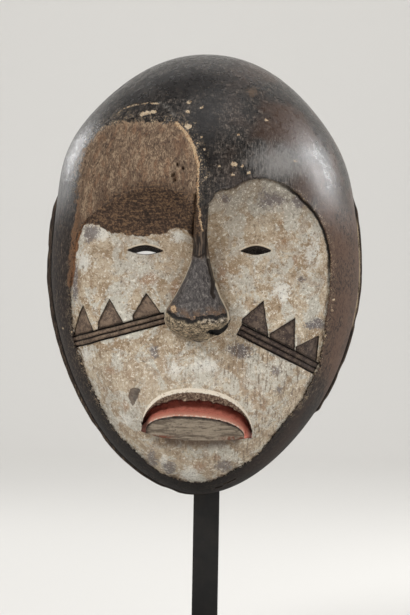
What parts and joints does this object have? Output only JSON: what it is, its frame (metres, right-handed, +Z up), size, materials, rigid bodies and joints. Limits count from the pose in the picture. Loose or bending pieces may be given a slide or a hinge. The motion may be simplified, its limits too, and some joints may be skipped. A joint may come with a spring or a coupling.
{
  "type": "mbwiti face mask on a display stand",
  "caption": "Carved wooden face mask, hollow behind, with a whitened face, dark domed forehead and scarred cheeks, hung on a dark metal display stand.",
  "frame": {"origin": "centre of the flat underside of the stand's foot plate", "axes": "+Z up, the face looks along -Y, +X is to the right of a viewer who faces it"},
  "size_m": [0.214, 0.174, 0.4086],
  "materials": {
    "mask_wood": "carved wood with dark polished crust, worn white kaolin on the face, bare brown wood and a trace of red in the mouth",
    "stand_metal": "dark brown-black satin paint on steel"
  },
  "bodies": {
    "root": {"mask": "mask_wood", "stand_post": "stand_metal", "stand_crossbar": "stand_metal", "stand_foot": "stand_metal"}
  },
  "joints": []
}
